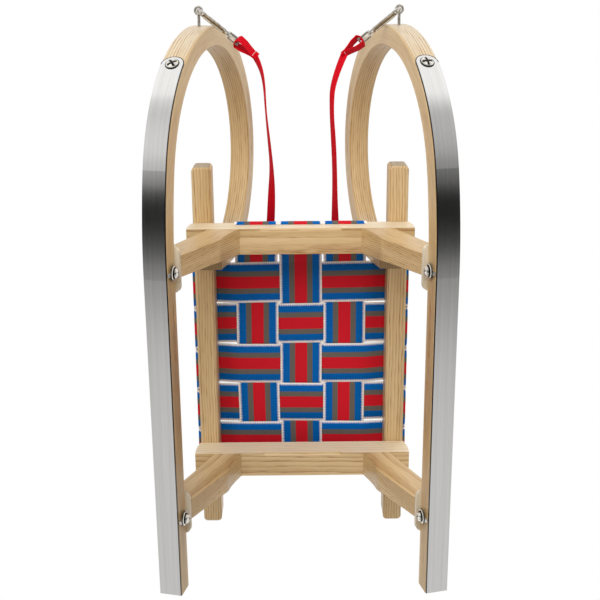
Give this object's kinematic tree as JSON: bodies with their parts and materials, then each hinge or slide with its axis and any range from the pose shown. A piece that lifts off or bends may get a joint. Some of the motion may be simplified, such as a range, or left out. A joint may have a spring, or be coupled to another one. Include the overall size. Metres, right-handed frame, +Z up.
{
  "type": "child's horn sled",
  "caption": "Wooden child's sled with bent runners that curl up into horns, steel shoes, two trestles, side rails, a woven striped seat and a clipped pull strap.",
  "frame": {"origin": "centre of the bounding box at the ground, midway between the runners and midway along the overall length", "axes": "+Z up, the horns point to -Y, +X to the right of someone who looks along +Y"},
  "size_m": [0.322, 0.636, 0.3257],
  "materials": {
    "ash": "clear varnish",
    "shoe_steel": "worn bright",
    "zinc": "zinc plated",
    "webbing": "woven striped webbing",
    "strap": "woven flat strap"
  },
  "bodies": {
    "root": {"runner_left": "ash", "shoe_left": "shoe_steel", "runner_right": "ash", "shoe_right": "shoe_steel", "crossbar_front": "ash", "leg_front_left": "ash", "foot_pad_front_left": "ash", "leg_front_right": "ash", "foot_pad_front_right": "ash", "crossbar_rear": "ash", "leg_rear_left": "ash", "foot_pad_rear_left": "ash", "leg_rear_right": "ash", "foot_pad_rear_right": "ash", "side_rail_left": "ash", "side_rail_right": "ash", "web_long_1": "webbing", "web_long_2": "webbing", "web_long_3": "webbing", "web_cross_1": "webbing", "web_cross_2": "webbing", "web_cross_3": "webbing", "web_cross_4": "webbing", "web_cross_5": "webbing", "eye_screw_left": "zinc", "snap_hook_left": "zinc", "eye_screw_right": "zinc", "snap_hook_right": "zinc", "pull_strap": "strap"}
  },
  "joints": []
}
